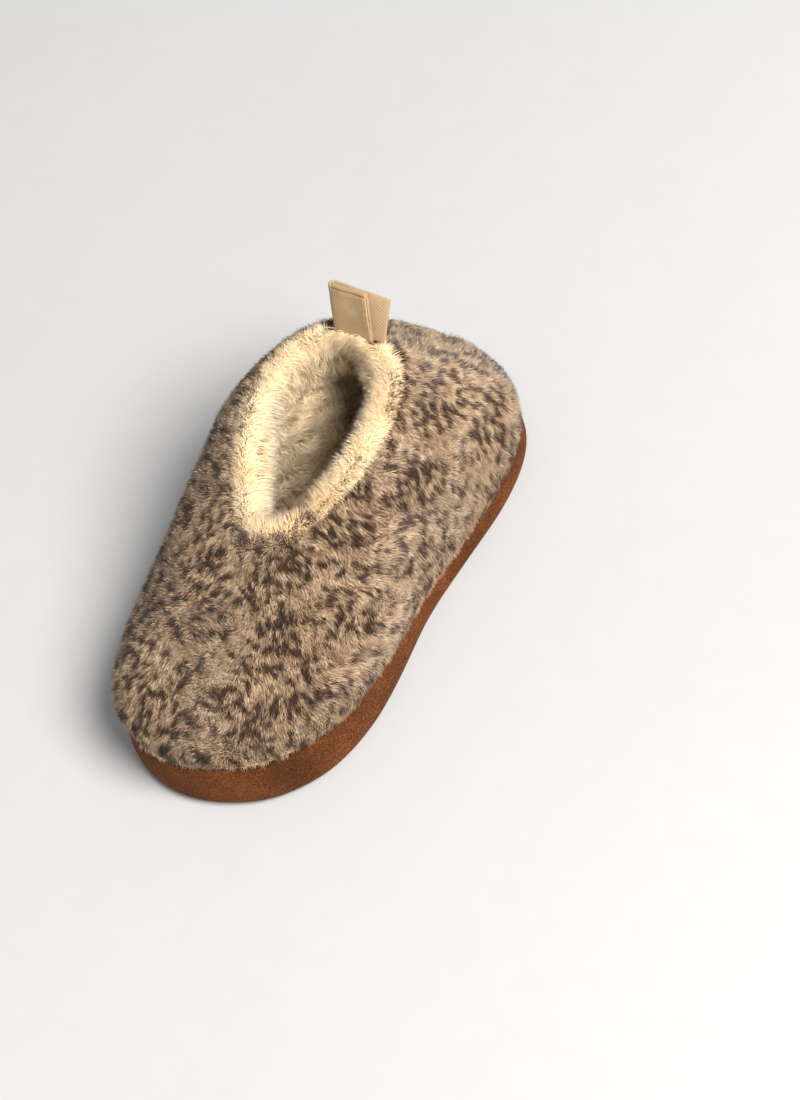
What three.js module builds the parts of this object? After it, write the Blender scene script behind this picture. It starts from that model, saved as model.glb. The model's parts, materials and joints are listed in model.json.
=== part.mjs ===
// Soft moccasin slipper for the right foot: a one-piece suede sole turned up round the foot,
// a wool pile upper with a rolled topline, a pile lining, a foam pad, a pile sock and a tape loop.
// Millimetres. +X points to the toe, +Y to the inner side of the foot and +Z up.
import * as THREE from 'three';
import { LoftGeometry } from 'three/addons/geometries/LoftGeometry.js';

// Sole: overall length and width over the suede, and the suede itself.
const SOLE_LENGTH = 270;
const BALL_WIDTH = 134;
const SUEDE_THICKNESS = 2;
const SOLE_EDGE_RADIUS = 7;
const SUEDE_CROWN = 0.05;
const BAND_LEAN = 3;
const BAND_HEIGHT_HEEL = 20;
const BAND_HEIGHT_WAIST = 15;
const BAND_HEIGHT_TOE = 30;
const WAIST_FROM_HEEL = 105;

// Topline: the seam line round the foot opening.
const TOPLINE_REAR_FROM_HEEL = 52;
const THROAT_FROM_HEEL = 162;
const OPENING_WIDTH = 66;
const OPENING_REAR_SWING = 12;
const TOPLINE_HEIGHT_REAR = 91;
const TOPLINE_HEIGHT_SIDE = 92;
const TOPLINE_HEIGHT_THROAT = 75;
const TOPLINE_HIGHEST_SHARE = 0.4;

// Layers of the upper and of the footbed.
const PILE_THICKNESS = 8;
const PILE_AT_WELT = 3.5;
const PILE_SWELL_LENGTH = 16;
const LINING_THICKNESS = 8;
const TOPLINE_ROLL = 4;
const FOAM_THICKNESS = 6;
const SOCK_THICKNESS = 7;
const SOCK_EDGE = 1.5;
const SOCK_RELIEF_THREADS = 2.2;
const LAYER_GAP = 0.3;
const PLY_GAP = 0.9;

// Shape of the upper between the suede edge and the topline.
const HEEL_FULLNESS = 0.2;
const SIDE_FULLNESS = 0.8;
const TOE_FULLNESS = 0.2;
const TOPLINE_PULL = 0.4;
const INNER_WALL_LEAN_DEG = 68;
const OUTER_WALL_LEAN_DEG = 34;
const VAMP_SLOPE_DEG = 20;
const HEEL_SHAPE_END = 0.4;
const TOE_SHAPE_START = 0.52;
const TOE_SHAPE_FULL = 0.92;
const WALL_SHARES = [0, 0.06, 0.15, 0.27, 0.41, 0.55, 0.68, 0.79, 0.9, 1];
const ROLL_SHARES = [-0.8, -0.55, -0.25, 0.05, 0.35, 0.65, 0.85];

// Seams and thread.
const THREAD_DIAMETER = 0.8;
const WELT_SEAM = 1.5;
const BACK_SEAM = 2;
const BACK_SEAM_DEPTH = 2;
const TOPLINE_THREAD_DEPTH = 1.6;

// Pull loop: a strip of tape folded double, bent back on itself, its lower edge in the topline seam.
const LOOP_HEIGHT = 29;
const LOOP_FRONT_WIDTH = 22;
const LOOP_BACK_WIDTH = 28;
const LOOP_SPREAD = 7;
const LOOP_BACK_DROP = 8;
const LOOP_LEAN_DEG = 18;
const LOOP_FRONT_THICKNESS = 3;
const LOOP_BACK_THICKNESS = 1.4;
const LOOP_SIDE_OFFSET = 1;
const LOOP_TAIL_LENGTH = 7;
const LOOP_TAIL_THICKNESS = 2.4;
const LOOP_ROOT_GAP = 0.6;
const LOOP_RISE = 1.2;
const LOOP_PINCH = 0.5;
const LOOP_DIP = 4;
const LOOP_PRESSED_PILE = 0.65;
const LOOP_SPINE_FLAT = 3;
const LOOP_SPINE_TURN = 0.8;
const LOOP_SPINE_SHARE = 0.7;
const TAPE_POCKET_SIDE = 6;
const TAPE_POCKET_START = 5;
const TAPE_POCKET_END = 13;

// Sole outline from heel to toe: share of the length, then share of half the ball width on the
// inner side and on the outer side of the foot.
const SOLE_OUTLINE = [
  [0.03, 0.45, 0.45],
  [0.10, 0.72, 0.72],
  [0.22, 0.85, 0.83],
  [0.36, 0.86, 0.88],
  [0.50, 0.87, 0.92],
  [0.63, 0.96, 0.93],
  [0.74, 1.00, 0.90],
  [0.85, 0.92, 0.81],
  [0.94, 0.66, 0.62],
  [0.985, 0.32, 0.33],
];

// Topline from rear to throat, each row facing the sole row of the same number: share of the
// opening's length, then share of half its width.
const TOPLINE_OUTLINE = [
  [0.04, 0.42],
  [0.13, 0.74],
  [0.28, 0.96],
  [0.46, 1.00],
  [0.62, 0.90],
  [0.76, 0.72],
  [0.87, 0.53],
  [0.94, 0.36],
  [0.98, 0.22],
  [0.995, 0.10],
];

// Finish of each surface.
const SECTIONS_PER_ROW = 3;
const SECTION_COUNT = SECTIONS_PER_ROW * 2 * (SOLE_OUTLINE.length + 1);
const UP = new THREE.Vector3(0, 0, 1);
const SUEDE_TAN = 0x8a5a36;
const PILE_MOTTLED = 0x967a5e;
const PILE_CREAM = 0xd9c3a0;
const FOAM_WHITE = 0xe6e1d6;
const TAPE_CREAM = 0xcdb48c;
const THREAD_TAN = 0xb08a5c;

const mix = THREE.MathUtils.lerp;
const smooth = THREE.MathUtils.smoothstep;

// Height of the suede edge above the ground at a distance from the heel.
function bandHeight(fromHeel) {
  const towardToe = fromHeel > WAIST_FROM_HEEL;
  const reach = towardToe ? SOLE_LENGTH - WAIST_FROM_HEEL : WAIST_FROM_HEEL;
  const end = towardToe ? BAND_HEIGHT_TOE : BAND_HEIGHT_HEEL;
  return mix(BAND_HEIGHT_WAIST, end, smooth(Math.abs(fromHeel - WAIST_FROM_HEEL), 0, reach));
}

// Height of the topline at a share of the opening's length.
function toplineHeight(share) {
  const highest = TOPLINE_HIGHEST_SHARE;
  if (share < highest) return mix(TOPLINE_HEIGHT_REAR, TOPLINE_HEIGHT_SIDE, smooth(share, 0, highest));
  return mix(TOPLINE_HEIGHT_SIDE, TOPLINE_HEIGHT_THROAT, smooth(share, highest, 1));
}

// Closed curve through a heel point, the inner side, a toe point and the outer side.
function closedOutline(rows, makePoint) {
  const inner = rows.map((row) => makePoint(row, 1));
  const outer = rows.map((row) => makePoint(row, -1)).reverse();
  const heel = makePoint([0, 0, 0], 1);
  const toe = makePoint([1, 0, 0], 1);
  return new THREE.CatmullRomCurve3([heel, ...inner, toe, ...outer], true, 'centripetal');
}

const soleCurve = closedOutline(SOLE_OUTLINE, ([along, innerSide, outerSide], side) => {
  const half = (side > 0 ? innerSide : -outerSide) * BALL_WIDTH / 2;
  return new THREE.Vector3(along * SOLE_LENGTH, half, 0);
});

const toplineCurve = closedOutline(TOPLINE_OUTLINE, ([along, across], side) => {
  const x = mix(TOPLINE_REAR_FROM_HEEL, THROAT_FROM_HEEL, along);
  const y = side * across * OPENING_WIDTH / 2 - OPENING_REAR_SWING * (1 - along) ** 2;
  return new THREE.Vector3(x, y, toplineHeight(along));
});

// How far the turned-up edge leans in over its foot at a height.
function edgeLean(turn, height) {
  const top = bandHeight(soleCurve.getPoint(turn).x);
  return BAND_LEAN * Math.max(height - SOLE_EDGE_RADIUS, 0) / (top - SOLE_EDGE_RADIUS);
}

// Point of the sole outline moved towards the inside of the shoe, at a height.
function solePoint(turn, inset, height) {
  const point = soleCurve.getPoint(turn);
  const along = soleCurve.getTangent(turn);
  const inward = new THREE.Vector3(along.y, -along.x, 0).normalize();
  return point.addScaledVector(inward, inset).setZ(height);
}

// Line up the wall of the upper, between its outer pile and its lining, from the suede edge to
// the topline.
function wallCurve(turn) {
  const fromHeel = soleCurve.getPoint(turn).x;
  const start = solePoint(turn, BAND_LEAN + SUEDE_THICKNESS + LAYER_GAP - PLY_GAP / 2, 0);
  start.z = bandHeight(fromHeel) + WELT_SEAM / 2;
  const end = toplineCurve.getPoint(turn);
  const inward = new THREE.Vector3(end.x - start.x, end.y - start.y, 0).normalize();
  const toeShare = smooth(fromHeel, TOE_SHAPE_START * SOLE_LENGTH, TOE_SHAPE_FULL * SOLE_LENGTH);
  const heelShare = 1 - smooth(fromHeel, 0, HEEL_SHAPE_END * SOLE_LENGTH);
  const fullness = mix(mix(SIDE_FULLNESS, TOE_FULLNESS, toeShare), HEEL_FULLNESS, heelShare);
  const rise = (end.z - start.z) * fullness;
  const outerShare = (1 - Math.sin(2 * Math.PI * turn)) / 2;
  const wallLean = mix(INNER_WALL_LEAN_DEG, OUTER_WALL_LEAN_DEG, outerShare);
  const slope = THREE.MathUtils.degToRad(mix(wallLean, VAMP_SLOPE_DEG, toeShare));
  const arrive = inward.multiplyScalar(Math.cos(slope)).addScaledVector(UP, Math.sin(slope));
  const pull = TOPLINE_PULL * start.distanceTo(end);
  const startHandle = start.clone().addScaledVector(UP, rise);
  const endHandle = end.clone().addScaledVector(arrive, -pull);
  return new THREE.CubicBezierCurve3(start, startHandle, endHandle, end);
}

// The wall line at a turn round the shoe, with its outward normal and its direction.
function wallFrame(turn) {
  const step = 0.5 / SECTION_COUNT;
  const here = wallCurve(turn);
  const before = wallCurve((turn - step + 1) % 1);
  const after = wallCurve((turn + step) % 1);
  const length = here.getLength();
  const at = (share) => {
    const direction = here.getTangentAt(share);
    const round = after.getPointAt(share).sub(before.getPointAt(share));
    const outward = new THREE.Vector3().crossVectors(direction, round).normalize();
    return { point: here.getPointAt(share), direction, outward };
  };
  return { length, at };
}

// Point near the topline: a distance past it along the wall, and a distance out from the wall.
function toplinePoint(frame, past, out) {
  const { point, direction, outward } = frame.at(1);
  return point.addScaledVector(direction, past).addScaledVector(outward, out);
}

// How much of the pull loop's tape lies between the two layers at a point of the seam, 0 to 1.
function tapeShare(point) {
  const half = LOOP_BACK_WIDTH / 2;
  const away = Math.abs(point.y + OPENING_REAR_SWING - LOOP_SIDE_OFFSET);
  const atHeel = point.x < (TOPLINE_REAR_FROM_HEEL + THROAT_FROM_HEEL) / 2;
  return atHeel ? 1 - smooth(away, half, half + TAPE_POCKET_SIDE) : 0;
}

// Half the room between the two layers, opened where the tape's tails are sewn in.
function layerRoom(frame, share) {
  const belowTopline = (1 - share) * frame.length;
  const pocket = (LOOP_TAIL_THICKNESS + PLY_GAP) / 2;
  const start = LOOP_TAIL_LENGTH + TAPE_POCKET_START;
  const depth = 1 - smooth(belowTopline, start, LOOP_TAIL_LENGTH + TAPE_POCKET_END);
  return mix(PLY_GAP / 2, pocket, depth * tapeShare(frame.at(1).point));
}

// How far both layers stop short of the topline where the pull loop parts them.
function loopDip(frame) {
  return LOOP_DIP * tapeShare(frame.at(1).point);
}

// Shares of the wall's height at which a section is drawn.
function wallShares(frame) {
  const last = 1 - (TOPLINE_ROLL + loopDip(frame)) / frame.length;
  return WALL_SHARES.map((share) => share * last);
}

// Rounded end of a layer at the topline, from its seam face to its open face.
function rolledEnd(frame, side, room, fullThickness) {
  const thickness = fullThickness * mix(1, LOOP_PRESSED_PILE, tapeShare(frame.at(1).point));
  const angles = ROLL_SHARES.map((share) => share * Math.PI / 2);
  return angles.map((angle) => {
    const past = TOPLINE_ROLL * (Math.cos(angle) - 1) - loopDip(frame);
    const out = room + (thickness - room) / 2 * (1 + Math.sin(angle));
    return toplinePoint(frame, past, side * out);
  });
}

// Section of the outer pile: up its pile face, round the topline roll and down its seam face.
function outerSection(turn) {
  const frame = wallFrame(turn);
  const shares = wallShares(frame);
  const seamFace = shares.map((share) => {
    const { point, outward } = frame.at(share);
    return point.addScaledVector(outward, layerRoom(frame, share));
  });
  const pileFace = shares.map((share) => {
    const { point, outward } = frame.at(share);
    const swell = Math.min(share * frame.length / PILE_SWELL_LENGTH, 1);
    const depth = mix(PILE_THICKNESS, PILE_AT_WELT, (1 - swell) ** 2);
    return point.addScaledVector(outward, depth);
  });
  const end = rolledEnd(frame, 1, layerRoom(frame, 1), PILE_THICKNESS);
  return [...pileFace, ...end.reverse(), ...seamFace.reverse()];
}

const FOAM_BASE = SUEDE_THICKNESS + LAYER_GAP;
const FOAM_TOP = FOAM_BASE + FOAM_THICKNESS;
const SOCK_BASE = FOAM_TOP + LAYER_GAP;
const SOCK_TOP = SOCK_BASE + SOCK_THICKNESS;
const LINING_INSET = SUEDE_THICKNESS + LAYER_GAP;
const SOCK_INSET = LINING_INSET + LINING_THICKNESS + LAYER_GAP;

// Section of the lining: up its seam face, round the topline roll and down its pile face.
function liningSection(turn) {
  const frame = wallFrame(turn);
  const shares = wallShares(frame);
  const edge = bandHeight(soleCurve.getPoint(turn).x);
  const heights = [SOCK_BASE, edge];
  const low = (inset) => heights.map((z) => solePoint(turn, inset + edgeLean(turn, z), z));
  const lowSeamFace = low(LINING_INSET);
  const lowPileFace = low(LINING_INSET + LINING_THICKNESS);
  const seamFace = shares.slice(1).map((share) => {
    const { point, outward } = frame.at(share);
    return point.addScaledVector(outward, -layerRoom(frame, share));
  });
  const pileFace = shares.slice(1).map((share) => {
    const { point, outward } = frame.at(share);
    return point.addScaledVector(outward, -LINING_THICKNESS);
  });
  const end = rolledEnd(frame, -1, layerRoom(frame, 1), LINING_THICKNESS);
  const up = [...lowSeamFace, ...seamFace, ...end];
  const down = [...lowPileFace, ...pileFace].reverse();
  return [...up, ...down];
}

// Layer that runs round the shoe from one side of the back seam to the other.
function backSeamedLayer(section) {
  const rear = section(0);
  const shifted = (side) => rear.map((point) => point.clone().setY(point.y + side * BACK_SEAM / 2));
  const sections = [shifted(1)];
  for (let i = 1; i < SECTION_COUNT; i += 1) sections.push(section(i / SECTION_COUNT));
  sections.push(shifted(-1));
  return new LoftGeometry(sections, { capStart: true, capEnd: true });
}

// Closed ring round the shoe at a height, following the lean of the turned-up edge.
function soleRing(inset, heightAt) {
  const points = [];
  for (let i = 0; i < SECTION_COUNT; i += 1) {
    const turn = i / SECTION_COUNT;
    const height = heightAt(turn);
    points.push(solePoint(turn, inset + edgeLean(turn, height), height));
  }
  return points.reverse();
}

// The same ring on a level.
function levelRing(inset, height) {
  return soleRing(inset, () => height);
}

// Solid between a stack of rings, closed by a flat face at each end.
function ringStack(rings) {
  return new LoftGeometry(rings, { capStart: true, capEnd: true });
}

// One-piece suede sole with its turned-up edge.
function outsole() {
  const suedeTop = (turn) => bandHeight(soleCurve.getPoint(turn).x) - WELT_SEAM / 2;
  const radius = SOLE_EDGE_RADIUS;
  const bend = [0, 0.35, 0.7, 1].map((part) => part * Math.PI / 2);
  const outside = bend.map((angle) => {
    return levelRing(radius * (1 - Math.sin(angle)), radius * (1 - Math.cos(angle)));
  });
  const inner = radius - SUEDE_THICKNESS;
  const inside = bend.map((angle) => {
    const inset = radius - inner * Math.sin(angle);
    return levelRing(inset, radius - inner * Math.cos(angle));
  });
  const edge = [0, SUEDE_THICKNESS].map((inset) => soleRing(inset, suedeTop));
  const floor = levelRing(2 * radius, SUEDE_THICKNESS + SUEDE_CROWN);
  return ringStack([...outside, ...edge, ...inside.reverse(), floor]);
}

// Foam pad that fills the bottom of the suede.
function soleFoam() {
  const radius = SOLE_EDGE_RADIUS - SUEDE_THICKNESS;
  const centre = SOLE_EDGE_RADIUS + LAYER_GAP;
  const bend = [0, 0.5, 1].map((part) => part * Math.PI / 2);
  const rings = bend.map((angle) => {
    return levelRing(centre - radius * Math.sin(angle), centre - radius * Math.cos(angle));
  });
  return ringStack([...rings, levelRing(SUEDE_THICKNESS + LAYER_GAP, FOAM_TOP)]);
}

// Pile sock on top of the foam, inside the lining, with a relieved lower edge for its seam.
function insoleSock() {
  const relief = SOCK_RELIEF_THREADS * THREAD_DIAMETER + LAYER_GAP;
  const rings = [
    levelRing(SOCK_INSET + relief, SOCK_BASE),
    levelRing(SOCK_INSET, SOCK_BASE + relief),
    levelRing(SOCK_INSET, SOCK_TOP - SOCK_EDGE),
    levelRing(SOCK_INSET + SOCK_EDGE, SOCK_TOP),
  ];
  return ringStack(rings);
}

// Thread with a round section: sections are circles in the plane of two directions.
function threadSection(centre, across, up) {
  const points = [];
  for (let i = 0; i < 6; i += 1) {
    const angle = i / 6 * 2 * Math.PI;
    const radius = THREAD_DIAMETER / 2;
    const point = centre.clone().addScaledVector(across, radius * Math.cos(angle));
    points.push(point.addScaledVector(up, radius * Math.sin(angle)));
  }
  return points;
}

// Thread that runs all round the shoe.
function ringThread(centreAndAxes) {
  const sections = [];
  for (let i = 0; i <= SECTION_COUNT; i += 1) {
    sections.push(threadSection(...centreAndAxes((i % SECTION_COUNT) / SECTION_COUNT)));
  }
  return new LoftGeometry(sections);
}

// Seam between the outer pile and the suede edge.
function weltSeamThread() {
  return ringThread((turn) => {
    const height = bandHeight(soleCurve.getPoint(turn).x);
    const inset = SUEDE_THICKNESS / 2 + edgeLean(turn, height);
    const centre = solePoint(turn, inset, height);
    const inward = solePoint(turn, inset + 1, height).sub(centre).normalize();
    return [centre, UP, inward];
  });
}

// Seam between the lining and the sock.
function sockSeamThread() {
  const height = SOCK_BASE + LAYER_GAP + THREAD_DIAMETER / 2;
  return ringThread((turn) => {
    const inset = SOCK_INSET + THREAD_DIAMETER / 2 + edgeLean(turn, height);
    const centre = solePoint(turn, inset, height);
    const inward = solePoint(turn, inset + 1, height).sub(centre).normalize();
    return [centre, UP, inward];
  });
}

// Seam that joins the outer pile and the lining round the topline.
function toplineSeamThread() {
  return ringThread((turn) => {
    const frame = wallFrame(turn);
    const { direction, outward } = frame.at(1);
    const centre = toplinePoint(frame, -TOPLINE_THREAD_DEPTH, 0);
    return [centre, outward, direction];
  });
}

// Seam up the back of one layer, at a depth from the line between the layers.
function backSeamThread(depth) {
  const frame = wallFrame(0);
  const sections = wallShares(frame).slice(1, -1).map((share) => {
    const { point, direction, outward } = frame.at(share);
    const across = new THREE.Vector3().crossVectors(outward, direction).normalize();
    return threadSection(point.addScaledVector(outward, depth), across, outward);
  });
  return new LoftGeometry(sections, { capStart: true, capEnd: true });
}

// Turn round the topline at which the middle of the pull loop is sewn in.
function loopTurn() {
  let turn = 1;
  while (toplineCurve.getPoint(turn).y > LOOP_SIDE_OFFSET - OPENING_REAR_SWING) turn -= 0.0005;
  return turn;
}

const loopFrame = wallFrame(loopTurn());
const loopSeam = toplineCurve.getTangent(loopTurn());

// Tape ends caught between the two layers, under the seam thread.
function loopTails() {
  const top = TOPLINE_THREAD_DEPTH + THREAD_DIAMETER / 2 + LAYER_GAP;
  const half = LOOP_TAIL_THICKNESS / 2;
  const length = toplineCurve.getLength();
  const sections = [-1, -0.5, 0, 0.5, 1].map((part) => {
    const frame = wallFrame((loopTurn() + part * LOOP_FRONT_WIDTH / 2 / length + 1) % 1);
    const depths = [top, top + LOOP_TAIL_LENGTH / 2, top + LOOP_TAIL_LENGTH];
    const stations = depths.map((depth) => frame.at(1 - depth / frame.length));
    const outside = stations.map((s) => s.point.clone().addScaledVector(s.outward, half));
    const inside = stations.map((s) => s.point.clone().addScaledVector(s.outward, -half));
    return [...inside, ...outside.reverse()];
  });
  return new LoftGeometry(sections, { capStart: true, capEnd: true });
}

// The loop above the seam, in its own frame: X along the seam to the inner side, Y to the back
// of the shoe, Z up the tape, with the origin on the fold line.
function pullLoop() {
  const front = LOOP_FRONT_THICKNESS / 2;
  const back = LOOP_BACK_THICKNESS / 2;
  const half = LOOP_FRONT_WIDTH / 2;
  const bend = LOOP_FRONT_THICKNESS / 2 + LAYER_GAP;
  const stations = [
    { x: half, y: -bend, thick: front },
    { x: 0, y: -bend, thick: front },
    { x: -half + LOOP_SPINE_FLAT, y: -bend, thick: front },
    { x: -half + LOOP_SPINE_TURN, y: -bend * LOOP_SPINE_SHARE, thick: mix(front, back, 0.5) },
    { x: -half, y: 0, thick: back },
    { x: -half + LOOP_SPINE_TURN, y: bend * LOOP_SPINE_SHARE, thick: back },
    { x: -half + LOOP_SPINE_FLAT, y: bend, thick: back },
    { x: 0, y: bend, thick: back },
    { x: LOOP_BACK_WIDTH - half, y: bend, thick: back },
  ];
  const sections = stations.map(({ x, y, thick }, i) => {
    const previous = stations[Math.max(i - 1, 0)];
    const next = stations[Math.min(i + 1, stations.length - 1)];
    const side = new THREE.Vector3(next.y - previous.y, previous.x - next.x, 0).normalize();
    const onBack = i > stations.length / 2;
    const reach = onBack ? (x + half) / LOOP_BACK_WIDTH : 0;
    return [-1, 1].flatMap((face) => {
      const rows = face < 0 ? [0, 0.5, 1] : [1, 0.5, 0];
      return rows.map((row) => {
        const top = LOOP_HEIGHT - LOOP_BACK_DROP * reach;
        const z = LOOP_ROOT_GAP + row * (top - LOOP_ROOT_GAP);
        const open = LOOP_SPREAD * reach * row;
        const pinch = mix(LOOP_PINCH, 1, Math.min(2 * row, 1));
        const point = new THREE.Vector3(x, y * pinch + open, z);
        return point.addScaledVector(side, face * thick * pinch);
      });
    });
  });
  return new LoftGeometry(sections, { capStart: true, capEnd: true });
}

// Group that holds the loop at its fold line.
function placedLoop() {
  const group = new THREE.Group();
  const along = new THREE.Vector3(-loopSeam.x, -loopSeam.y, 0).normalize().negate();
  const backward = new THREE.Vector3(along.y, -along.x, 0).negate();
  group.matrixAutoUpdate = false;
  group.matrix.makeBasis(along, backward, UP);
  group.matrix.setPosition(toplinePoint(loopFrame, LOOP_RISE, 0));
  const lean = new THREE.Group();
  lean.rotation.x = -THREE.MathUtils.degToRad(LOOP_LEAN_DEG);
  lean.add(part('pull_loop', pullLoop(), TAPE_CREAM, 0.85));
  group.add(lean);
  return group;
}

function part(name, geometry, color, roughness) {
  const mesh = new THREE.Mesh(
    geometry,
    new THREE.MeshStandardMaterial({ color, roughness, metalness: 0 }),
  );
  mesh.name = name;
  return mesh;
}

const shoe = new THREE.Group();
shoe.add(part('outsole', outsole(), SUEDE_TAN, 0.95));
shoe.add(part('sole_foam', soleFoam(), FOAM_WHITE, 0.9));
shoe.add(part('insole_sock', insoleSock(), PILE_CREAM, 1));
shoe.add(part('upper_lining', backSeamedLayer(liningSection), PILE_CREAM, 1));
shoe.add(part('upper_outer', backSeamedLayer(outerSection), PILE_MOTTLED, 1));
shoe.add(part('welt_seam_thread', weltSeamThread(), THREAD_TAN, 0.8));
shoe.add(part('sock_seam_thread', sockSeamThread(), THREAD_TAN, 0.8));
shoe.add(part('topline_seam_thread', toplineSeamThread(), THREAD_TAN, 0.8));
shoe.add(part('back_seam_thread', backSeamThread(BACK_SEAM_DEPTH), THREAD_TAN, 0.8));
shoe.add(part('lining_seam_thread', backSeamThread(-BACK_SEAM_DEPTH), THREAD_TAN, 0.8));
shoe.add(part('loop_tails', loopTails(), TAPE_CREAM, 0.85));
shoe.add(placedLoop());

// The origin is under the middle of the shoe, on the ground.
shoe.updateMatrixWorld(true);
const box = new THREE.Box3().setFromObject(shoe, true);
const middle = box.getCenter(new THREE.Vector3());
shoe.position.set(-middle.x, -middle.y, -box.min.z);

export default shoe;
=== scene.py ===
import json
import math

import bpy
import numpy as np
from mathutils import Matrix, Vector, kdtree
from mathutils.bvhtree import BVHTree

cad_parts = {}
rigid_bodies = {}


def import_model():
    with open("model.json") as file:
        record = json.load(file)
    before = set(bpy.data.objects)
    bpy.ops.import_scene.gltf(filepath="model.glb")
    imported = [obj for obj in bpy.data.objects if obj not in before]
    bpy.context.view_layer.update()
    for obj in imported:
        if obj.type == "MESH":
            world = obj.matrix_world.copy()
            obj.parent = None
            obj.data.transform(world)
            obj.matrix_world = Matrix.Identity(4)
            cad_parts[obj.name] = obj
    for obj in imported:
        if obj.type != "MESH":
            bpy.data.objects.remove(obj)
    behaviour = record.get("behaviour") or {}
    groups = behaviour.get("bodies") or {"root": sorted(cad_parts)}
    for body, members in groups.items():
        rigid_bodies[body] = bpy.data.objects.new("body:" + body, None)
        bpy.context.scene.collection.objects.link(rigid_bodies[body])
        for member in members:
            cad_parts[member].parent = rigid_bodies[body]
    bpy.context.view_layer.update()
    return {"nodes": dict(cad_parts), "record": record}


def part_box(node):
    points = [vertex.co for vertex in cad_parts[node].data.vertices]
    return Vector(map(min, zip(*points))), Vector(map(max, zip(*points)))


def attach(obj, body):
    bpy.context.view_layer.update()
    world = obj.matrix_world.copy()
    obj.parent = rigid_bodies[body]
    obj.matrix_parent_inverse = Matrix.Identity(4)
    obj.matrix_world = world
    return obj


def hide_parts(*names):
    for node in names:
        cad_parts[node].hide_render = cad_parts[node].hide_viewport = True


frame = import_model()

# ---- Camera ----
# A long lens above the toe, on the inner side of the shoe, looking back at the opening.
shoe_middle = Vector((-0.0048, -0.0019, 0.040))
towards_camera = Vector((0.40, 0.53, 0.75)).normalized()
image_up = Vector((-0.74, -0.29, 0.60))
image_up = (image_up - towards_camera * image_up.dot(towards_camera)).normalized()
image_right = image_up.cross(towards_camera)
camera_distance = 1.627
camera_place = shoe_middle + towards_camera * camera_distance
aim = shoe_middle + image_right * 0.0396 - image_up * 0.0102
back = (camera_place - aim).normalized()
up = (image_up - back * image_up.dot(back)).normalized()
bpy.ops.object.camera_add(location=camera_place)
camera = bpy.context.active_object
camera.name = "camera"
camera.data.lens = 110.8
camera.data.sensor_width = 36
camera_turn = Matrix((up.cross(back), up, back)).transposed().to_4x4()
camera.matrix_world = Matrix.Translation(camera_place) @ camera_turn
bpy.context.scene.camera = camera
bpy.context.scene.view_settings.view_transform = "Standard"


# ---- Floor and light ----
# A pale matt table top under an even sky, with one wide soft lamp high on the inner side
# of the shoe, so that shade falls softly on the outer side.
def tint(red, green, blue):
    """A paint colour, from 0 to 255 a channel, as Blender's linear one."""
    parts = [c / 255 for c in (red, green, blue)]
    return (*[p / 12.92 if p <= 0.04045 else ((p + 0.055) / 1.055) ** 2.4 for p in parts], 1)


def new_material(name):
    """An empty Principled material: its nodes, its links and its shader."""
    material = bpy.data.materials.new(name)
    material.use_nodes = True
    nodes, links = material.node_tree.nodes, material.node_tree.links
    return material, nodes, links, nodes["Principled BSDF"]


def ramp(nodes, stops):
    """A colour ramp with those (place, colour) stops."""
    node = nodes.new("ShaderNodeValToRGB")
    elements = node.color_ramp.elements
    while len(elements) < len(stops):
        elements.new(0.5)
    for element, (place, colour) in zip(elements, stops):
        element.position = place
        element.color = colour
    return node


def fleck_group():
    """Soft blotches with fine flecks in them, as wool, suede and paper have."""
    group = bpy.data.node_groups.new("flecks", "ShaderNodeTree")
    face = group.interface
    face.new_socket("Vector", in_out="INPUT", socket_type="NodeSocketVector")
    for name, value in (("Blotch Scale", 40), ("Fleck Scale", 900), ("Fleck Share", 0.4)):
        face.new_socket(name, in_out="INPUT", socket_type="NodeSocketFloat").default_value = value
    face.new_socket("Mask", in_out="OUTPUT", socket_type="NodeSocketFloat")
    face.new_socket("Fleck", in_out="OUTPUT", socket_type="NodeSocketFloat")
    nodes, links = group.nodes, group.links
    inside, outside = nodes.new("NodeGroupInput"), nodes.new("NodeGroupOutput")
    blotch, fleck = nodes.new("ShaderNodeTexNoise"), nodes.new("ShaderNodeTexNoise")
    blotch.inputs["Detail"].default_value = 4
    fleck.inputs["Detail"].default_value = 3
    mix = nodes.new("ShaderNodeMix")
    links.new(inside.outputs["Vector"], blotch.inputs["Vector"])
    links.new(inside.outputs["Vector"], fleck.inputs["Vector"])
    links.new(inside.outputs["Blotch Scale"], blotch.inputs["Scale"])
    links.new(inside.outputs["Fleck Scale"], fleck.inputs["Scale"])
    links.new(inside.outputs["Fleck Share"], mix.inputs[0])
    links.new(blotch.outputs[0], mix.inputs[2])
    links.new(fleck.outputs[0], mix.inputs[3])
    links.new(mix.outputs[0], outside.inputs["Mask"])
    links.new(fleck.outputs[0], outside.inputs["Fleck"])
    return group


flecks = fleck_group()


def flecked(name, stops, roughness, blotch=40, fleck=900, share=0.4, bump=0.0, depth=0.0002):
    """A matt material whose colours follow the flecks, with the flecks raised by bump."""
    material, nodes, links, shader = new_material(name)
    place = nodes.new("ShaderNodeTexCoord")
    grain = nodes.new("ShaderNodeGroup")
    grain.node_tree = flecks
    grain.inputs["Blotch Scale"].default_value = blotch
    grain.inputs["Fleck Scale"].default_value = fleck
    grain.inputs["Fleck Share"].default_value = share
    colours = ramp(nodes, stops)
    links.new(place.outputs["Object"], grain.inputs["Vector"])
    links.new(grain.outputs["Mask"], colours.inputs["Fac"])
    links.new(colours.outputs["Color"], shader.inputs["Base Color"])
    shader.inputs["Roughness"].default_value = roughness
    shader.inputs["Specular IOR Level"].default_value = 0.2
    if bump:
        raised = nodes.new("ShaderNodeBump")
        raised.inputs["Strength"].default_value = bump
        raised.inputs["Distance"].default_value = depth
        links.new(grain.outputs["Fleck"], raised.inputs["Height"])
        links.new(raised.outputs["Normal"], shader.inputs["Normal"])
    return material, nodes, links, shader


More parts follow.
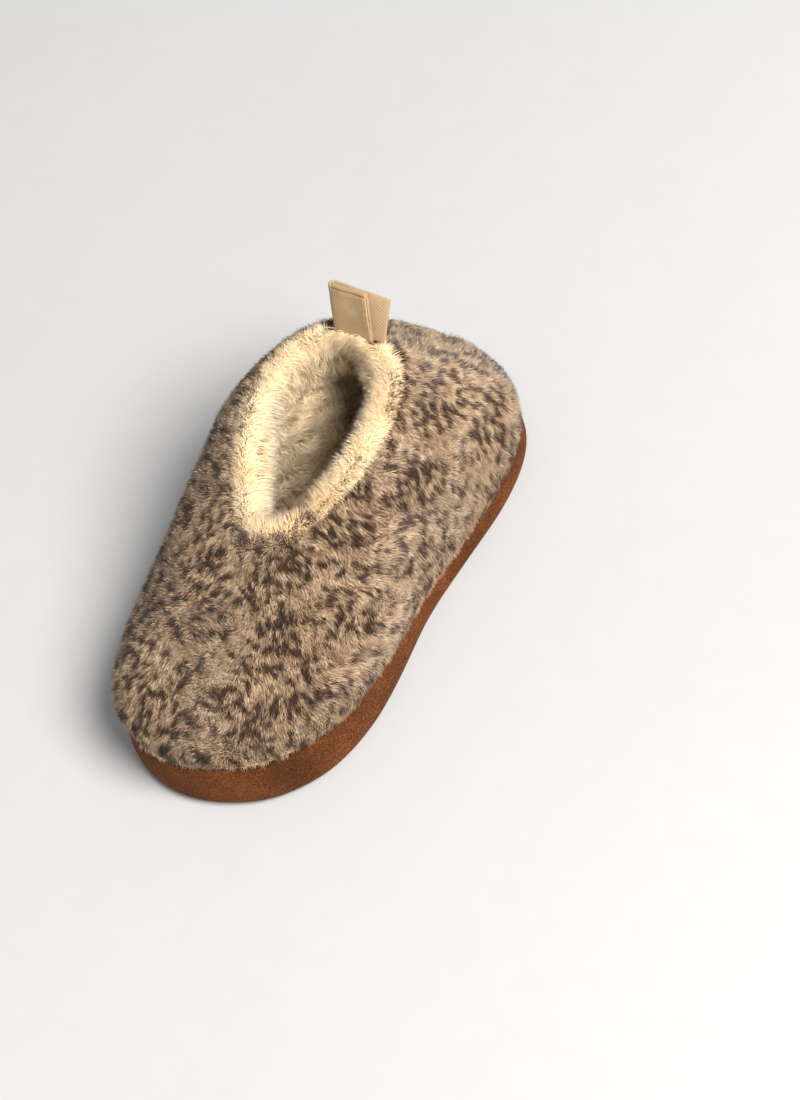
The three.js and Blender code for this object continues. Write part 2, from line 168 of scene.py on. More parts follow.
bpy.ops.object.select_all(action="DESELECT")
bpy.ops.mesh.primitive_plane_add(size=12)
floor = bpy.context.active_object
floor.name = "floor"
paper = flecked("pale paper", [(0.3, tint(191, 192, 194)), (0.7, tint(195, 196, 198))],
                0.9, blotch=3, fleck=60)[0]
floor.data.materials.append(paper)

world = bpy.data.worlds.new("even sky")
world.use_nodes = True
sky = world.node_tree.nodes["Background"]
sky.inputs["Color"].default_value = (1, 0.99, 0.975, 1)
sky.inputs["Strength"].default_value = 0.40
bpy.context.scene.world = world

bpy.ops.object.light_add(type="AREA", location=(0.15, 2.2, 2.3))
lamp = bpy.context.active_object
lamp.name = "soft lamp"
lamp.data.shape = "DISK"
lamp.data.size = 1.7
lamp.data.energy = 188
lamp.data.color = (1, 0.97, 0.93)
lamp.rotation_mode = "QUATERNION"
lamp.rotation_quaternion = (lamp.location - shoe_middle).to_track_quat("Z", "Y")


# ---- Suede sole ----
# One piece of brown cow suede, nap side out: the flat sole and the edge that turns up round
# the foot, moulded over a last and sewn to the upper along its top edge.
def take(piece):
    """Selects that piece alone and makes it the active one."""
    bpy.ops.object.select_all(action="DESELECT")
    piece.select_set(True)
    bpy.context.view_layer.objects.active = piece


def merged_copy(node, name):
    """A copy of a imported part's mesh with its corners joined, as a piece of its own."""
    take(frame["nodes"][node])
    bpy.ops.object.duplicate()
    piece = bpy.context.active_object
    bpy.ops.object.parent_clear(type="CLEAR_KEEP_TRANSFORM")
    for key in list(piece.keys()):
        del piece[key]
    piece.name = name
    piece.data.name = name
    piece.data.materials.clear()
    bpy.ops.object.mode_set(mode="EDIT")
    bpy.ops.mesh.select_all(action="SELECT")
    bpy.ops.mesh.remove_doubles(threshold=0.00001)
    bpy.ops.object.mode_set(mode="OBJECT")
    return piece


def apply_modifier(piece, kind, **settings):
    """Adds a modifier of that kind to the piece and applies it."""
    take(piece)
    bpy.ops.object.modifier_add(type=kind)
    modifier = piece.modifiers[-1]
    for key, value in settings.items():
        setattr(modifier, key, value)
    bpy.ops.object.modifier_apply(modifier=modifier.name)


def settle(piece, body, node, material, smooth_angle=None):
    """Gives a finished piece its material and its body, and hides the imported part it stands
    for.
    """
    piece.data.materials.append(material)
    take(piece)
    if smooth_angle:
        bpy.ops.object.shade_smooth_by_angle(angle=smooth_angle)
    else:
        bpy.ops.object.shade_smooth()
    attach(piece, body)
    if node:
        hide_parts(node)


suede_sole = merged_copy("outsole", "suede_sole")
bpy.ops.object.mode_set(mode="EDIT")
bpy.ops.mesh.tris_convert_to_quads()
bpy.ops.object.mode_set(mode="OBJECT")
apply_modifier(suede_sole, "SUBSURF", levels=1, render_levels=1)
suede, _, _, shader = flecked(
    "brown suede",
    [(0.34, tint(45, 22, 7)), (0.5, tint(79, 42, 15)), (0.64, tint(122, 71, 32))],
    0.95, blotch=26, fleck=1300, share=0.62, bump=0.7, depth=0.0005,
)
shader.inputs["Sheen Weight"].default_value = 0.12
shader.inputs["Sheen Roughness"].default_value = 0.5
shader.inputs["Sheen Tint"].default_value = tint(220, 150, 95)
settle(suede_sole, "shoe", "outsole", suede)


# ---- Pile backings ----
# The knitted backs that the wool is locked into: the outer layer, the lining and the sock.
# Their wool faces sit lower than the finished pile, so that the strands stand on them.
def open_backing(piece, most_drop):
    """Lowers the faces of a layer that nothing lies on, and returns their triangles with the
    corners' places and normals: the ground for the strands."""
    mesh = piece.data
    mesh.calc_loop_triangles()
    count = len(mesh.vertices)
    corner = np.empty(count * 3)
    mesh.vertices.foreach_get("co", corner)
    corner = corner.reshape(-1, 3)
    normal = np.empty(count * 3)
    mesh.vertices.foreach_get("normal", normal)
    normal = normal.reshape(-1, 3)
    triangles = np.empty(len(mesh.loop_triangles) * 3, int)
    mesh.loop_triangles.foreach_get("vertices", triangles)
    triangles = triangles.reshape(-1, 3)
    own = BVHTree.FromPolygons(corner.tolist(), triangles.tolist())
    near_rim, rim_room, open_room = 0.006, 0.001, 0.004
    open_face = np.zeros(len(triangles), bool)
    for i, face in enumerate(triangles):
        a, b, c = corner[face]
        out = np.cross(b - a, c - a)
        out /= max(np.linalg.norm(out), 1e-12)
        centre = (a + b + c) / 3
        room = rim_room if rim_thread.find(centre)[2] < near_rim else open_room
        start, way_out = Vector(centre + out * 0.0002), Vector(out)
        hits = [tree.ray_cast(start, way_out, room)[0] for tree in neighbours]
        open_face[i] = not any(hit is not None for hit in hits)
    drop = np.zeros(count)
    for i in np.unique(triangles[open_face]):
        inward = Vector(-normal[i])
        hit = own.ray_cast(Vector(corner[i]) + inward * 0.0001, inward, 0.02)
        thick = hit[3] if hit[0] is not None else 0.001
        drop[i] = min(most_drop, 0.45 * thick)
    lowered = corner - normal * drop[:, None]
    mesh.vertices.foreach_set("co", lowered.ravel())
    mesh.update()
    return lowered, normal, triangles[open_face]


def thread_tree(node):
    """Where a seam's thread runs, to measure from."""
    thread = frame["nodes"][node].data.vertices
    tree = kdtree.KDTree(len(thread))
    for vertex in thread:
        tree.insert(vertex.co, vertex.index)
    tree.balance()
    return tree


rim_thread = thread_tree("topline_seam_thread")
neighbours = []
for node in ("upper_outer", "upper_lining", "outsole", "insole_sock", "pull_loop"):
    solid = frame["nodes"][node].data
    solid.calc_loop_triangles()
    neighbours.append(BVHTree.FromPolygons(
        [v.co.copy() for v in solid.vertices], [tuple(t.vertices) for t in solid.loop_triangles]))

outer_back = merged_copy("upper_outer", "upper_backing")
lining_back = merged_copy("upper_lining", "lining_backing")
sock_back = merged_copy("insole_sock", "sock_backing")
upper_drop, sock_drop = 0.0036, 0.0030
outer_ground = open_backing(outer_back, upper_drop)
lining_ground = open_backing(lining_back, upper_drop)
corner, normal, faces = lining_ground
above_sock = corner[faces][:, :, 2].min(1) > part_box("insole_sock")[1].z - 0.001
lining_ground = (corner, normal, faces[above_sock])
sock_ground = open_backing(sock_back, sock_drop)

mottled_ground = flecked(
    "mottled wool ground",
    [(0.32, tint(74, 52, 36)), (0.5, tint(128, 100, 74)), (0.66, tint(160, 132, 102))],
    0.95, blotch=160, fleck=1100, share=0.35, bump=0.6, depth=0.0008)[0]
cream_ground = flecked(
    "cream wool ground",
    [(0.3, tint(226, 194, 146)), (0.55, tint(242, 216, 174)), (0.75, tint(250, 232, 198))],
    0.95, blotch=120, fleck=900, share=0.4, bump=0.6, depth=0.0008)[0]
settle(outer_back, "shoe", "upper_outer", mottled_ground)
settle(lining_back, "shoe", "upper_lining", cream_ground)
settle(sock_back, "shoe", "insole_sock", cream_ground)


# ---- Mottled outer pile ----
# Short curly wool, 7 mm long, that lies outwards and down from the topline. Most locks are
# beige; dark brown locks show between them as short strokes. It hangs over the suede edge.
def scatter(ground, count, dice):
    """That many strand roots, spread evenly over the ground, with their normals."""
    corner, normal, faces = ground
    a, b, c = corner[faces[:, 0]], corner[faces[:, 1]], corner[faces[:, 2]]
    area = np.linalg.norm(np.cross(b - a, c - a), axis=1)
    pick = dice.choice(len(faces), count, p=area / area.sum())
    u, v = dice.random(count), dice.random(count)
    flip = u + v > 1
    u[flip], v[flip] = 1 - u[flip], 1 - v[flip]
    weights = np.stack([1 - u - v, u, v], 1)[:, :, None]
    root = (corner[faces[pick]] * weights).sum(1)
    out = (normal[faces[pick]] * weights).sum(1)
    return root, out / np.linalg.norm(out, axis=1, keepdims=True)


def unit(vectors):
    """The vectors, each brought to a length of one."""
    return vectors / np.maximum(np.linalg.norm(vectors, axis=1, keepdims=True), 1e-9)


def swirl(points, size, dice):
    """A smooth random direction at each point, which turns over about that distance."""
    total = np.zeros_like(points)
    for _ in range(7):
        wave = dice.normal(size=3) / size
        total += np.sin(points @ wave * 2 + dice.random() * 6.28)[:, None] * dice.normal(size=3)
    return total / 2.2


def nearest(points, centres, many):
    """The indices of the nearest few centres to each point."""
    tree = kdtree.KDTree(len(centres))
    for i, centre in enumerate(centres):
        tree.insert(centre, i)
    tree.balance()
    return np.array([[found[1] for found in tree.find_n(p, many)] for p in points])


def strands(name, root, middle, tip, width, wool, material):
    """One piece of many fine closed strands, each three-sided and pointed at both ends."""
    count = len(root)
    along = unit(tip - root)
    side = unit(np.cross(along, [0.31, 0.52, 0.79]))
    other = np.cross(along, side)
    points = np.empty((count, 5, 3))
    points[:, 0], points[:, 4] = root, tip
    for k in range(3):
        turn = 2 * math.pi * k / 3
        spoke = side * math.cos(turn) + other * math.sin(turn)
        points[:, k + 1] = middle + spoke * width[:, None]
    sides = [(0, 2, 1), (0, 3, 2), (0, 1, 3), (1, 2, 4), (2, 3, 4), (3, 1, 4)]
    corners = (np.arange(count)[:, None, None] * 5 + np.array(sides)[None]).reshape(-1)
    mesh = bpy.data.meshes.new(name)
    mesh.vertices.add(count * 5)
    mesh.vertices.foreach_set("co", points.ravel())
    mesh.loops.add(len(corners))
    mesh.loops.foreach_set("vertex_index", corners)
    mesh.polygons.add(count * 6)
    mesh.polygons.foreach_set("loop_start", np.arange(count * 6) * 3)
    mesh.polygons.foreach_set("loop_total", np.full(count * 6, 3))
    mesh.update(calc_edges=True)
    # each strand has its own small square of the map, cut into a strip for each of its sides
    cells = math.ceil(math.sqrt(count))
    strip = []
    for k, (first, second, third) in enumerate(sides):
        left, right, centre = (k % 3) / 3 + 0.04, (k % 3 + 1) / 3 - 0.04, (k % 3 + 0.5) / 3
        below = [(centre, 0.08), (right, 0.48), (left, 0.48)]
        above = [(left, 0.52), (right, 0.52), (centre, 0.92)]
        strip += below if k < 3 else above
    square = np.stack([np.arange(count) % cells, np.arange(count) // cells], 1)
    places = (square[:, None] + np.array(strip)[None]) / cells
    layer = mesh.uv_layers.new(name="OFBake")
    layer.data.foreach_set("uv", places.ravel().astype(np.float32))
    colour = mesh.attributes.new("wool", "FLOAT_COLOR", "POINT")
    values = np.ones((count, 5, 4), np.float32)
    values[:, :, 0] = wool[:, None]
    # green runs from root to tip; the wool material uses it to darken the root end as painted
    # shade
    values[:, :, 1] = np.array([0, 0.6, 0.6, 0.6, 1])[None]
    values[:, :, 2] = (np.arange(count) * 0.618 % 1)[:, None]
    colour.data.foreach_set("color", values.ravel())
    piece = bpy.data.objects.new(name, mesh)
    bpy.context.scene.collection.objects.link(piece)
    settle(piece, "shoe", None, material)


def wool_material(name, stops, painted_root_shade_colour, sheen):
    """Wool whose colour is each lock's own, darkened by painted shade towards its root, with
    broad soft changes.
    """
    material, nodes, links, shader = new_material(name)
    lock = nodes.new("ShaderNodeAttribute")
    lock.attribute_name = "wool"
    split = nodes.new("ShaderNodeSeparateColor")
    place = nodes.new("ShaderNodeTexCoord")
    grain = nodes.new("ShaderNodeGroup")
    grain.node_tree = flecks
    grain.inputs["Blotch Scale"].default_value = 22
    grain.inputs["Fleck Scale"].default_value = 260
    grain.inputs["Fleck Share"].default_value = 0.35
    broad = nodes.new("ShaderNodeMath")
    broad.operation = "MULTIPLY_ADD"
    broad.inputs[1].default_value = 0.5
    broad.inputs[2].default_value = -0.25
    tone = nodes.new("ShaderNodeMath")
    tone.operation = "ADD"
    colours = ramp(nodes, stops)
    # painted shade: near the root the colour is multiplied down towards the root colour, standing
    # in for the shade deep among the strands
    depth = ramp(nodes, [(0, painted_root_shade_colour), (0.75, (1, 1, 1, 1))])
    shade = nodes.new("ShaderNodeMix")
    shade.data_type = "RGBA"
    shade.blend_type = "MULTIPLY"
    shade.inputs["Factor"].default_value = 1
    links.new(lock.outputs["Color"], split.inputs[0])
    links.new(place.outputs["Object"], grain.inputs["Vector"])
    links.new(grain.outputs["Mask"], broad.inputs[0])
    links.new(split.outputs["Red"], tone.inputs[0])
    links.new(broad.outputs[0], tone.inputs[1])
    links.new(tone.outputs[0], colours.inputs["Fac"])
    links.new(split.outputs["Green"], depth.inputs["Fac"])
    links.new(colours.outputs["Color"], shade.inputs[6])
    links.new(depth.outputs["Color"], shade.inputs[7])
    links.new(shade.outputs[2], shader.inputs["Base Color"])
    shader.inputs["Roughness"].default_value = 0.8
    shader.inputs["Specular IOR Level"].default_value = 0.25
    shader.inputs["Sheen Weight"].default_value = sheen
    shader.inputs["Sheen Roughness"].default_value = 0.6
    return material


def grown(root, out, flow, length, lean, lock_root, lock_out, lock_flow, lock, gather):
    """The middle and tip of each strand: it bends over along its flow, and leans to its lock."""
    rise, run = (length * np.cos(lean))[:, None], (length * np.sin(lean))[:, None]
    tip = root + out * rise + flow * run
    middle = root + out * rise * 0.66 + flow * run * 0.4
    home_rise, home_run = rise[:, 0].mean(), run[:, 0].mean()
    home = lock_root + lock_out * home_rise + lock_flow * home_run
    return middle + (home[lock] - tip) * gather * 0.35, tip + (home[lock] - tip) * gather


def gap_to(points, node):
    """How far each point is from a seam's thread."""
    tree = thread_tree(node)
    return np.array([tree.find(p)[2] for p in points])


def ease(values, start, end):
    """From nought at the start to one at the end, smoothly."""
    share = np.clip((values - start) / (end - start), 0, 1)
    return share * share * (3 - 2 * share)


def away_from_opening(points):
    """The direction outwards from the middle of the foot opening, and down."""
    middle = np.full_like(points, -0.005)
    middle[:, 0] = np.clip(points[:, 0], -0.075, 0.02)
    middle[:, 2] = 0.112
    return unit(points - middle)


def lie(points, out, dice):
    """The way the outer pile lies: away from the opening, with swirls, along the surface."""
    flow = away_from_opening(points) + swirl(points, 0.012, np.random.default_rng(31)) * 0.6
    flow += dice.normal(size=flow.shape) * 0.3
    return unit(flow - out * (flow * out).sum(1)[:, None])


def stroked(points, tone, strokes, dice):
    """Darkens the locks that stand in one of the short dark strokes."""
    place, run_way, long, wide = strokes
    near = nearest(points, place, 3)
    for k in range(3):
        which = near[:, k]
        away = points - place[which]
        run = (away * run_way[which]).sum(1)
        across = np.linalg.norm(away - run_way[which] * run[:, None], axis=1)
        reach = np.hypot(run / long[which], across / wide[which])
        reach += dice.normal(size=len(reach)) * 0.2
        dark = np.clip((1.7 - reach) / 0.9, 0, 1)
        tone = tone * (1 - dark) + (0.1 + 0.05 * dice.normal(size=len(tone))) * dark
    return tone


outer_strands, outer_locks, dark_strokes, strands_in_a_piece = 192000, 9000, 1600, 32000
dice = np.random.default_rng(7)
mottled_root, mottled_out = scatter(outer_ground, outer_strands, dice)
rim_gap = gap_to(mottled_root, "topline_seam_thread")
bare = rim_gap < dice.uniform(0.002, 0.006, len(mottled_root))
mottled_root, mottled_out = mottled_root[~bare], mottled_out[~bare]
lock_root, lock_out = scatter(outer_ground, outer_locks, dice)
stroke_root, stroke_out = scatter(outer_ground, dark_strokes, dice)
mottled_flow = lie(mottled_root, mottled_out, dice)
lock_flow = lie(lock_root, lock_out, dice)
lock = nearest(mottled_root, lock_root, 1)[:, 0]
lock_tone = 0.66 + 0.12 * dice.normal(size=len(lock_root))
stroke_way = lie(stroke_root, stroke_out, dice)
sideways = np.cross(stroke_out, stroke_way)
stroke_way = unit(stroke_way + sideways * dice.normal(size=(dark_strokes, 1)) * 0.9)
stroke_long = dice.uniform(0.0008, 0.0030, dark_strokes)
stroke_wide = dice.uniform(0.0006, 0.0013, dark_strokes)
strokes = (stroke_root, stroke_way, stroke_long, stroke_wide)
tone = lock_tone[lock] + dice.normal(size=len(lock)) * 0.07
tone = stroked(mottled_root, tone, strokes, dice)

above_welt = gap_to(mottled_root, "welt_seam_thread")
at_toe = ease(mottled_root[:, 0], 0.03, 0.08)
trim = 0.6 + 0.2 * at_toe + (0.4 - 0.2 * at_toe) * ease(above_welt, 0.002, 0.014)
length = dice.uniform(0.0052, 0.0074, len(lock)) * trim
lean = np.radians(dice.normal(45, 11, len(lock)))
middle, tip = grown(mottled_root, mottled_out, mottled_flow, length, lean,
                    lock_root, lock_out, lock_flow, lock, 0.2)
# the last colour is the painted shade that the strands' roots are darkened towards
mottled_wool = wool_material("mottled wool", [
    (0.05, tint(58, 38, 25)), (0.28, tint(98, 71, 50)), (0.5, tint(160, 131, 101)),
    (0.72, tint(205, 177, 144)), (0.95, tint(230, 207, 177))], tint(190, 166, 142), 0.15)
order = np.argsort(lock, kind="stable")
vamp = mottled_root[:, 0] > 0.050
toe_side = vamp & (mottled_root[:, 1] > 0)
inner = ~vamp & (mottled_root[:, 1] > -0.008)
areas = {"vamp_inner_pile": toe_side, "vamp_outer_pile": vamp & ~toe_side,
         "quarter_inner_pile": inner, "quarter_outer_pile": ~vamp & ~inner}
for name, mask in areas.items():
    pick = order[mask[order]]
    for part, chunk in enumerate(np.array_split(pick, math.ceil(len(pick) / strands_in_a_piece))):
        width = dice.uniform(0.00011, 0.00019, len(chunk))
        strands(f"{name}_{part + 1}", mottled_root[chunk], middle[chunk], tip[chunk],
                width, tone[chunk], mottled_wool)


# ---- Cream lining pile ----
# Long soft wool pile of the lining and the sock, a warm cream. It stands up thickly all round
# the foot, is flatter in the toe, and rolls out over the topline.
def stray(points, out, spread):
    """Every way along the surface, and outwards over the topline near it."""
    rim = 1 - ease(gap_to(points, "topline_seam_thread"), 0.004, 0.012)
    flow = swirl(points, 0.009, np.random.default_rng(5))
    flow = unit(flow + dice.normal(size=points.shape) * spread)
    flow = flow * (1 - rim)[:, None] * 0.8 + away_from_opening(points) * rim[:, None]
    return unit(flow - out * (flow * out).sum(1)[:, None]), rim


# the last colour is the painted shade that the strands' roots are darkened towards
cream_wool = wool_material("cream wool", [
    (0.1, tint(224, 192, 146)), (0.4, tint(246, 221, 178)), (0.7, tint(254, 238, 206)),
    (0.95, tint(255, 247, 226))], tint(246, 216, 168), 0.25)
for name, ground, count, lock_count, long in (
    ("lining_pile", lining_ground, 120000, 7000, 0.0165),
    ("sock_pile", sock_ground, 14000, 500, 0.0070),
):
    root, out = scatter(ground, count, dice)
    worn_flat = (root[:, 0] > 0.045) & (dice.random(count) > 0.2)
    root, out = root[~worn_flat], out[~worn_flat]
    count = len(root)
    lock_root, lock_out = scatter(ground, lock_count, dice)
    flow, rim = stray(root, out, 0.45)
    lock_flow = stray(lock_root, lock_out, 0.4)[0]
    lock = nearest(root, lock_root, 1)[:, 0]
    tone = 0.55 + 0.1 * dice.normal(size=lock_count)[lock] + 0.08 * dice.normal(size=count)
    length = dice.uniform(0.75, 1.1, count) * long * (1 - 0.3 * rim)
    lean = np.radians(dice.normal(34, 12, count) + 6 * rim)
    middle, tip = grown(root, out, flow, length, lean, lock_root, lock_out, lock_flow, lock, 0.3)
    # wool that would come out through the low heel wall is cut away
    in_heel = (root[:, 0] < -0.11) & (root[:, 2] < 0.06)
    through_heel = in_heel & (tip[:, 0] < root[:, 0] - 0.0005)
    order = np.argsort(lock, kind="stable")
    order = order[~through_heel[order]]
    for part, chunk in enumerate(np.array_split(order, math.ceil(count / strands_in_a_piece))):
        width = dice.uniform(0.00012, 0.00022, len(chunk))
        strands(f"{name}_{part + 1}", root[chunk], middle[chunk], tip[chunk],
                width, tone[chunk], cream_wool)

# ---- Topline roll ----
# Where the lining turns over the topline its wool fans out to both sides and hides the seam.
# Behind the pull loop the tape presses it forwards, into the opening.
seam_ring = np.array([v.co[:] for v in frame["nodes"]["topline_seam_thread"].data.vertices])
turn_of = np.arctan2(seam_ring[:, 1] + 0.008, seam_ring[:, 0] + 0.03)
slices = [(turn_of >= turn) & (turn_of < turn + 0.1)
          for turn in np.arange(-math.pi, math.pi, 0.1)]
ring = np.array([seam_ring[chosen].mean(0) for chosen in slices if chosen.any()])
following = np.roll(ring, -1, axis=0)
steps = np.linalg.norm(following - ring, axis=1)
roll_count = 29000
pick = dice.choice(len(ring), roll_count, p=steps / steps.sum())
root = ring[pick] + (following - ring)[pick] * dice.random(roll_count)[:, None]
upright = np.array([0, 0, 1.0])
seam_run = unit(following - ring)[pick]
outwards = unit(np.cross(seam_run, upright))
root[:, 2] += 0.0006
root += outwards * dice.normal(size=(roll_count, 1)) * 0.0009
fan = np.radians(dice.uniform(-112, 84, roll_count))
fold_place = np.array(frame["record"]["behaviour"]["joints"][0]["pos_m"])
loop_reach = 0.0165
behind_loop = (np.linalg.norm(root - fold_place, axis=1) < loop_reach) & (root[:, 0] < -0.06)
fan[behind_loop] = np.radians(dice.uniform(-110, -42, behind_loop.sum()))
leaning = swirl(root, 0.006, np.random.default_rng(9)) * 0.35
leaning = leaning + dice.normal(size=root.shape) * 0.22
way = outwards * np.sin(fan)[:, None] + upright * np.cos(fan)[:, None]
longer_inside = 0.0035 * (fan < -0.5)
long = (dice.uniform(0.0062, 0.0090, roll_count) + longer_inside)[:, None]
middle = root + unit(way + leaning * 0.6) * long * 0.55
tip = middle + unit(way + outwards * np.sin(fan)[:, None] * 0.8 + leaning) * long * 0.5
tip[:, 2] -= 0.0012 * np.abs(np.sin(fan))
patchy = swirl(root, 0.004, np.random.default_rng(12))[:, 0]
tone = 0.42 + 0.1 * dice.normal(size=roll_count) + 0.08 * patchy
width = dice.uniform(0.00012, 0.0002, roll_count)
strands("topline_roll_pile", root, middle, tip, width, tone, cream_wool)


# ---- Pull loop ----
# A strip of cream cotton tape folded double over its top edge, then turned back round a soft
# spine to a single rear leaf, its lower edges sewn into the topline seam at the heel.
def woven_tape():
    """Cream cotton twill: fine diagonal ribs, laid along the tape by its own map in metres."""
    material, nodes, links, shader = flecked(
        "cream cotton tape",
        [(0.3, tint(158, 130, 97)), (0.52, tint(175, 149, 114)), (0.8, tint(192, 169, 136))],
        0.8, blotch=90, fleck=1500, share=0.4)
    along = nodes.new("ShaderNodeUVMap")
    along.uv_map = "weave"
    ribs = nodes.new("ShaderNodeTexWave")
    ribs.bands_direction = "DIAGONAL"
    ribs.inputs["Scale"].default_value = 300
    ribs.inputs["Distortion"].default_value = 0.8
    ribs.inputs["Detail"].default_value = 1
    picks = nodes.new("ShaderNodeTexWave")
    picks.bands_direction = "Y"
    picks.inputs["Scale"].default_value = 620
    woven = nodes.new("ShaderNodeMath")
    woven.operation = "MULTIPLY_ADD"
    woven.inputs[1].default_value = 0.4
    raised = nodes.new("ShaderNodeBump")
    raised.inputs["Strength"].default_value = 0.55
    raised.inputs["Distance"].default_value = 0.00018
    links.new(along.outputs["UV"], ribs.inputs["Vector"])
    links.new(along.outputs["UV"], picks.inputs["Vector"])
    links.new(picks.outputs["Color"], woven.inputs[0])
    links.new(ribs.outputs["Color"], woven.inputs[2])
    links.new(woven.outputs[0], raised.inputs["Height"])
    links.new(raised.outputs["Normal"], shader.inputs["Normal"])
    shader.inputs["Sheen Weight"].default_value = 0.1
    return material


tape = woven_tape()
fold = frame["record"]["behaviour"]["joints"][0]
seam_way = Vector(fold["axis"]).normalized()
rearward = Vector((-seam_way.y, seam_way.x, 0))
stand = Matrix((seam_way, rearward, Vector((0, 0, 1)))).transposed().to_4x4()
lean_back = Matrix.Rotation(math.radians(-18), 4, "X")
stand = Matrix.Translation(fold["pos_m"]) @ stand @ lean_back
loop_height, front_half, leaf_end = 0.029, 0.011, 0.017
ply, half_gap, front_y = 0.0011, 0.00092, -0.0018
spine_bulge, root_lift = 0.0022, 0.0006
fold_smooth = math.radians(55)


def tape_strip(name, columns, rows, place):
    """A strip of tape, as a grid whose points go where place says, thickened to one ply."""
    bpy.ops.object.select_all(action="DESELECT")
    bpy.ops.mesh.primitive_grid_add(x_subdivisions=columns, y_subdivisions=rows, size=1)
    strip = bpy.context.active_object
    strip.name = name
    mesh = strip.data
    share = [(v.co.x + 0.5, v.co.y + 0.5) for v in mesh.vertices]
    for layer in list(mesh.uv_layers):
        mesh.uv_layers.remove(layer)
    weave = mesh.uv_layers.new(name="weave")
    for loop in mesh.loops:
        across, up = share[loop.vertex_index]
        weave.data[loop.index].uv = (across * 0.026, up * loop_height)
    for vertex, (across, up) in zip(mesh.vertices, share):
        vertex.co = stand @ Vector(place(across, up))
    apply_modifier(strip, "SOLIDIFY", thickness=ply, offset=0)
    apply_modifier(strip, "BEVEL", width=0.00028, segments=2, limit_method="ANGLE",
                   angle_limit=math.radians(50))
    return strip


def pinched(y, z):
    """The sewn root is pressed to half the loop's depth."""
    return y * (0.5 + 0.5 * min(2 * z / loop_height, 1))


def front_wave(across, z):
    """How far the front leaf stands off its plane, more towards its top."""
    return 0.00025 * math.sin(9 * across + 2) * z / loop_height


def doubled_front(across, up):
    """Up the front, over the top fold and down behind, from the spine to the free end."""
    x = -front_half + spine_bulge + across * (2 * front_half - spine_bulge)
    straight = loop_height - root_lift - half_gap - ply / 2
    turn = (up - 0.5) / 0.08
    if abs(turn) < 1:
        angle = math.pi / 2 * (1 - turn)
        y = front_y - half_gap * math.cos(angle)
        z = root_lift + straight + half_gap * math.sin(angle)
    else:
        z = root_lift + straight * (up / 0.42 if up < 0.5 else (1 - up) / 0.42)
        y = front_y + math.copysign(half_gap, up - 0.5)
    y += front_wave(across, z)
    return x, pinched(y, z), z


def spine_and_leaf(across, up):
    """Round the spine from the front ply and out along the rear leaf, lower to its end."""
    start, round_spine = -front_half + spine_bulge, 0.3
    if across < round_spine:
        angle = math.pi * across / round_spine
        reach, x = 0, start - spine_bulge * math.sin(angle)
        y = front_y - half_gap + (1 - math.cos(angle)) / 2 * 0.0045
    else:
        reach = (across - round_spine) / (1 - round_spine)
        x, y = start + reach * (leaf_end - start), front_y + 0.0036
    top = loop_height - ply / 2 - 0.0078 * reach
    z = root_lift + up * (top - root_lift)
    open_by = 0.0068 * reach * up
    wave = 0.0003 * math.sin(5 * across + 3 * up)
    return x, pinched(y, z) + open_by + wave * up, z


tape_front = tape_strip("tape_front", 14, 38, doubled_front)
tape_leaf = tape_strip("tape_leaf", 26, 14, spine_and_leaf)
settle(tape_front, "loop", "pull_loop", tape, smooth_angle=fold_smooth)
settle(tape_leaf, "loop", None, tape, smooth_angle=fold_smooth)

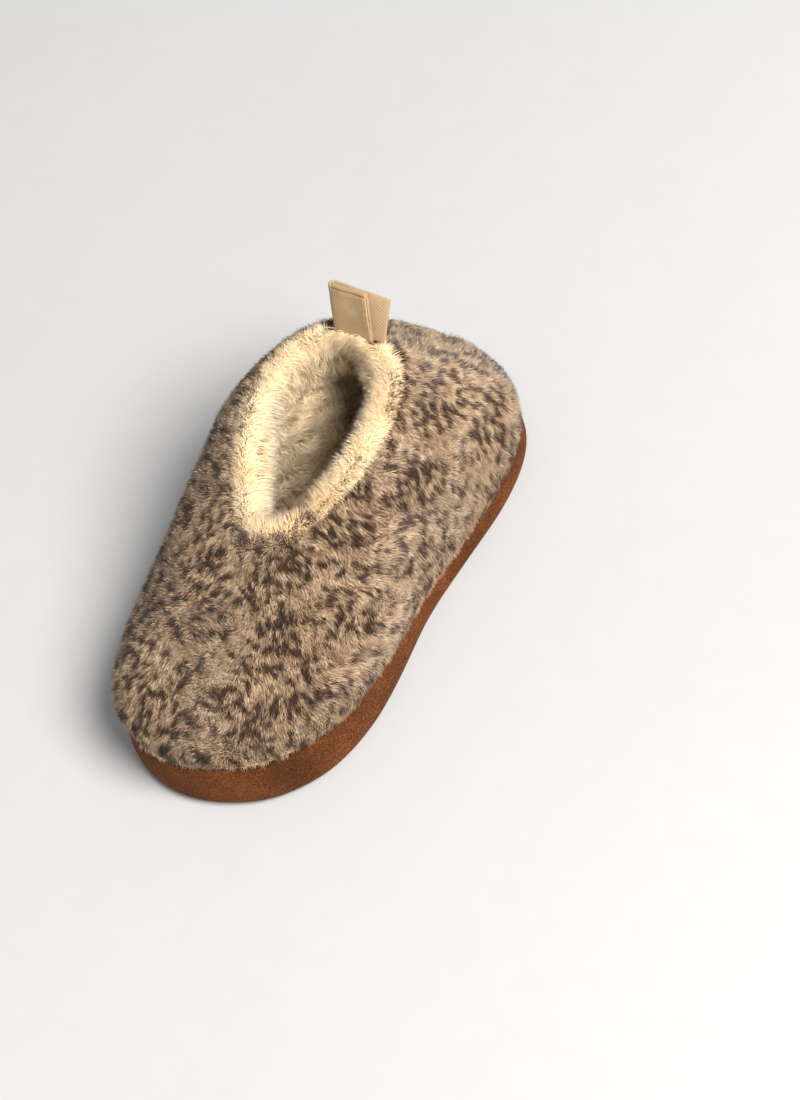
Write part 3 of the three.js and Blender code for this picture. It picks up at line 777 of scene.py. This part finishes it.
stitches = []
stitch_places = [(-0.0070 + 0.0031 * k, 0.0262, 0) for k in range(6)]
stitch_places += [(0.0094, 0.0240 - 0.0034 * k, 90) for k in range(6)]
for x, z, turned in stitch_places:
    bpy.ops.object.select_all(action="DESELECT")
    bpy.ops.mesh.primitive_uv_sphere_add(segments=8, ring_count=6, radius=0.0002)
    stitch = bpy.context.active_object
    for vertex in stitch.data.vertices:
        vertex.co.x *= 4.4  # drawn out into a short length of thread
    stitch.data.transform(Matrix.Rotation(math.radians(turned), 4, "Y"))
    across = (x + front_half) / (2 * front_half)
    face = pinched(front_y - half_gap, z) - ply / 2 + front_wave(across, z)
    stitch.data.transform(stand @ Matrix.Translation((x, face, z)))
    stitches.append(stitch)
for stitch in stitches:
    stitch.select_set(True)
bpy.context.view_layer.objects.active = stitches[0]
bpy.ops.object.join()
tape_stitches = bpy.context.active_object
tape_stitches.name = "tape_stitches"
for layer in list(tape_stitches.data.uv_layers):
    tape_stitches.data.uv_layers.remove(layer)
stitch_thread = flecked(
    "tan stitch thread", [(0.3, tint(168, 132, 90)), (0.7, tint(206, 172, 128))],
    0.7, blotch=400, fleck=3000, share=0.5, bump=0.4, depth=0.0001)[0]
settle(tape_stitches, "loop", None, stitch_thread)

tape_ends = merged_copy("loop_tails", "tape_ends")
tape_ends.data.uv_layers.new(name="weave")
for loop in tape_ends.data.loops:
    place = stand.inverted() @ tape_ends.data.vertices[loop.vertex_index].co
    tape_ends.data.uv_layers["weave"].data[loop.index].uv = (place.x, place.z)
settle(tape_ends, "shoe", "loop_tails", tape, smooth_angle=math.radians(50))

# ---- Sole foam ----
# A flat sheet of pale foam between the suede and the sock, hidden in the finished shoe.
foam_pad = merged_copy("sole_foam", "foam_pad")
foam = flecked("pale foam", [(0.35, tint(206, 200, 186)), (0.65, tint(228, 223, 210))], 0.9,
               blotch=200, fleck=2200, share=0.7, bump=0.8, depth=0.0003)[0]
settle(foam_pad, "shoe", "sole_foam", foam, smooth_angle=math.radians(40))

# ---- Seam threads ----
# Polyester thread laid in the seams where the layers meet: brown in the welt seam, tan in the
# back seam of the upper and cream in the others.
cream_thread = [(0.3, tint(206, 186, 150)), (0.7, tint(232, 214, 180))]
thread_colours = {
    "welt_seam_thread": [(0.3, tint(96, 60, 34)), (0.7, tint(134, 88, 52))],
    "sock_seam_thread": cream_thread,
    "topline_seam_thread": cream_thread,
    "back_seam_thread": [(0.3, tint(122, 96, 70)), (0.7, tint(160, 132, 102))],
    "lining_seam_thread": cream_thread,
}
for node, stops in thread_colours.items():
    thread = flecked(node.replace("_", " "), stops, 0.7, blotch=300, fleck=2600,
                     share=0.5, bump=0.5, depth=0.0001)[0]
    seam = frame["nodes"][node]
    seam.data.materials.clear()
    seam.data.materials.append(thread)
